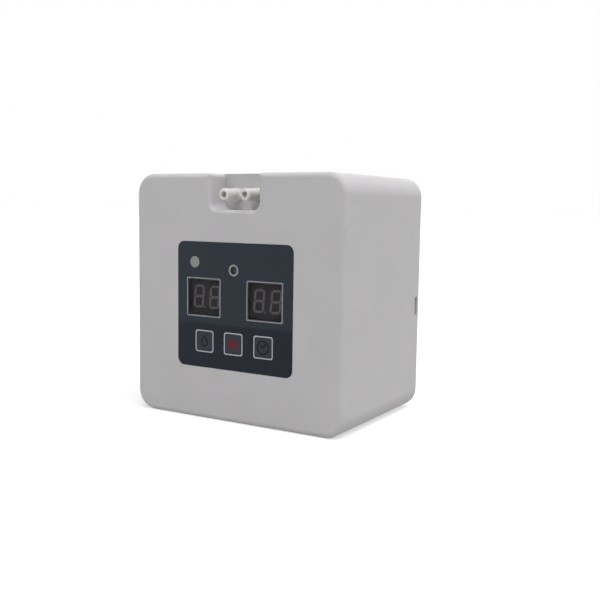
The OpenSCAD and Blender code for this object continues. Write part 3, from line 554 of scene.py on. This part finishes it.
def print_keys():
    drop = drop_loop(DROP_R, DROP_TIP)
    share = 1 - ICON_LINE / DROP_R
    hollow = [(x * share, z * share) for x, z in drop]
    print_on_key("water", [(drop, hollow)], [], ink_dark, DROP_SHIFT)
    bars = [moved(rect_loop(BAR_W, BAR_H, BAR_R), 0, BAR_STEP * k) for k in (-1, 0, 1)]
    print_on_key("mode", [], bars, ink_red)
    hands = [bar_loop((0, 0), tip, ICON_LINE) for tip in (CLOCK_HOUR, CLOCK_MINUTE)]
    print_on_key("clock", [circle_ring(CLOCK_R, ICON_LINE)], hands, ink_dark)


def softened(node, name, width):
    """Copy of a CAD node with its sharp edges rounded, standing for the node."""
    source = frame["nodes"][node]
    bm = bmesh.new()
    bm.from_mesh(source.data)
    bmesh.ops.remove_doubles(bm, verts=bm.verts, dist=SAME_POINT)
    bmesh.ops.dissolve_limit(bm, angle_limit=FLAT_ANGLE, verts=bm.verts, edges=bm.edges)
    for part in (*bm.faces, *bm.edges):
        part.smooth = True
    piece = new_piece(name, bm, list(source.data.materials), source["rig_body"])
    for leftover in ("custom_normal", "sharp_edge", "sharp_face"):
        if leftover in piece.data.attributes:
            piece.data.attributes.remove(piece.data.attributes[leftover])
    bevel = piece.modifiers.new("edges", "BEVEL")
    bevel.width = width * MM
    bevel.segments = EDGE_SEGMENTS
    bevel.limit_method = "ANGLE"
    bevel.angle_limit = SHARP_ANGLE
    bevel.harden_normals = True
    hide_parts(node)


def turned_row(bm, r, x, y, z):
    """Row of points around an upright axis, or the one point on it."""
    count = LATHE_STEPS if r else 1
    row = []
    for k in range(count):
        px, py = on_circle(r * MM, 360 * k / count)
        row.append(bm.verts.new((x + px, y + py, z)))
    return row


def battery_cell(node, button_up):
    """Round cell with a crimped base, a two-tone sleeve and a raised button."""
    low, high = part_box(node)
    x, y = (low.x + high.x) / 2, (low.y + high.y) / 2
    steel, sleeve, second = range(3)
    stretches = [(CELL_BASE, steel), (CELL_LOW_ROLL, sleeve), (CELL_BAND, second),
                 (CELL_HIGH_ROLL, steel), (CELL_BUTTON, steel)]
    bm = bmesh.new()
    rows = []
    for points, finish in stretches:
        for r, z in points:
            height = low.z + z * MM if button_up else high.z - z * MM
            rows.append((turned_row(bm, r, x, y, height), finish))
    for (a, finish), (b, _) in zip(rows, rows[1:]):
        for k in range(LATHE_STEPS):
            j = (k + 1) % LATHE_STEPS
            corners = [a[k % len(a)], a[j % len(a)], b[j % len(b)], b[k % len(b)]]
            face = bm.faces.new(list(dict.fromkeys(corners)))
            face.material_index = finish
            face.smooth = True
    bmesh.ops.recalc_face_normals(bm, faces=bm.faces)
    materials = [finishes[name] for name in ("steel", "cell_sleeve", "cell_band")]
    piece = new_piece(node + "_sleeved", bm, materials, "case")
    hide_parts(node)


# Studio


def seen_directly(mat):
    """One where the camera, a reflection or a clear piece looks straight at the surface, else nought."""
    path = add(mat, "LightPath")
    total = path.outputs["Is Camera Ray"]
    for ray in ("Is Glossy Ray", "Is Transmission Ray"):
        node = add(mat, "Math")
        node.operation = "MAXIMUM"
        link(mat, total, node.inputs[0])
        link(mat, path.outputs[ray], node.inputs[1])
        total = node.outputs[0]
    return total


def make_world():
    world = bpy.data.worlds.new("studio")
    scene.world = world
    world.use_nodes = True
    background = world.node_tree.nodes["Background"]
    background.inputs["Color"].default_value = (1, 1, 1, 1)
    strength = span(world, seen_directly(world), 0, 1, AMBIENT, 1)
    link(world, strength, background.inputs["Strength"])


def floor_finish():
    """White that holds the part's shadow, and glows only where it is looked at."""
    mat = bpy.data.materials.new("floor_white")
    mat.use_nodes = True
    mat.node_tree.nodes.remove(shader(mat))
    diffuse = add(mat, "BsdfDiffuse", Color=(FLOOR_ALBEDO, FLOOR_ALBEDO, FLOOR_ALBEDO, 1))
    glow = add(mat, "Emission")
    link(mat, span(mat, seen_directly(mat), 0, 1, 0, FLOOR_LIFT), glow.inputs["Strength"])
    both = add(mat, "AddShader")
    link(mat, diffuse.outputs[0], both.inputs[0])
    link(mat, glow.outputs[0], both.inputs[1])
    link(mat, both.outputs[0], mat.node_tree.nodes["Material Output"].inputs["Surface"])
    return mat


def make_floor():
    bm = bmesh.new()
    bmesh.ops.create_grid(bm, x_segments=2, y_segments=2, size=FLOOR_SIZE / 2)
    mesh = bpy.data.meshes.new("floor")
    bm.to_mesh(mesh)
    bm.free()
    mesh.materials.append(floor_finish())
    floor = bpy.data.objects.new("floor", mesh)
    scene.collection.objects.link(floor)


def make_lamps():
    for name, (source, strength, width) in LAMPS.items():
        light = bpy.data.lights.new(name, "SUN")
        light.energy = strength
        light.angle = math.radians(width)
        lamp = bpy.data.objects.new(name, light)
        lamp.rotation_euler = Vector(source).to_track_quat("Z", "Y").to_euler()
        scene.collection.objects.link(lamp)


def make_card():
    light = bpy.data.lights.new("reflection_card", "AREA")
    light.shape = "RECTANGLE"
    light.size, light.size_y = CARD_SIZE
    light.color = CARD_COLOR
    light.energy = CARD_RADIANCE * math.pi * CARD_SIZE[0] * CARD_SIZE[1]
    card = bpy.data.objects.new("reflection_card", light)
    card.location = CARD_AT
    card.rotation_euler = (math.radians(90), 0, math.radians(CARD_TURN))
    card.visible_camera = False
    card.visible_diffuse = False
    card.visible_transmission = False
    scene.collection.objects.link(card)


def make_camera():
    data = bpy.data.cameras.new("camera")
    data.lens = LENS
    data.sensor_width = SENSOR
    data.clip_start = CAMERA_NEAR
    camera = bpy.data.objects.new("camera", data)
    yaw = Matrix.Rotation(math.radians(CAMERA_YAW), 4, "Z")
    tilt = Matrix.Rotation(math.radians(CAMERA_TILT), 4, "X")
    roll = Matrix.Rotation(math.radians(CAMERA_ROLL), 4, "Z")
    camera.matrix_world = Matrix.Translation(CAMERA_AT) @ yaw @ tilt @ roll
    scene.collection.objects.link(camera)
    scene.camera = camera


scene.view_settings.view_transform = "Standard"
make_camera()
make_world()
make_floor()
make_lamps()
make_card()
dress_nodes()
print_panel()
# Dark linings that paint shade into the display openings
paint_shade_in_sights()
print_keys()
for key in KEYS:
    softened("key_" + key, "key_cap_" + key, KEY_EDGE)
softened("inlet_nipple", "nipple_in", NIPPLE_EDGE)
softened("outlet_nipple", "nipple_out", NIPPLE_EDGE)
softened("rear_cover", "cover_moulding", COVER_EDGE)
for number in (1, 2, 3, 4):
    battery_cell(f"battery_cell_{number}", number % 2 == 1)
